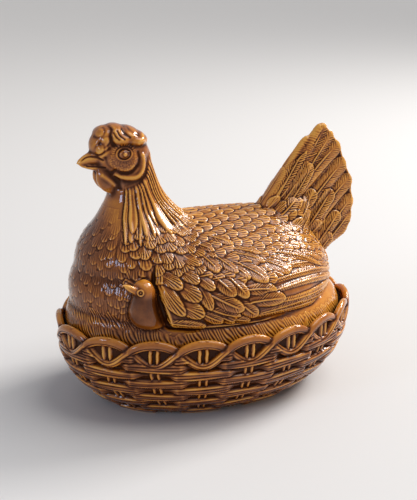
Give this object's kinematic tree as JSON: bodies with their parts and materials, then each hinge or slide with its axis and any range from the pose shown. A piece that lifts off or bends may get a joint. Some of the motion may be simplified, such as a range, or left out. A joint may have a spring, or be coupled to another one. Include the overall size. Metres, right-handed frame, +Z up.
{
  "type": "hen on nest dish",
  "caption": "Oval basket-weave dish in brown glazed earthenware with a lid in the form of a sitting hen.",
  "frame": {"origin": "centre of the closed dish's bounding box, on the surface that it stands on", "axes": "+X towards the hen's tail and -X towards her beak, -Y her left side with the chick, +Z up"},
  "size_m": [0.2604, 0.178, 0.2244],
  "materials": {
    "basket_glaze": "glossy brown glaze, darker in the hollows",
    "hen_glaze": "glossy brown glaze, amber on the ridges and darker in the hollows"
  },
  "bodies": {
    "base": {"basket_base": "basket_glaze"},
    "lid": {"hen_lid": "hen_glaze"}
  },
  "joints": [
    {"name": "lid_lift", "type": "slide", "parent": "base", "child": "lid", "axis": [0, 0, 1], "range_m": [0, 0.15]}
  ]
}
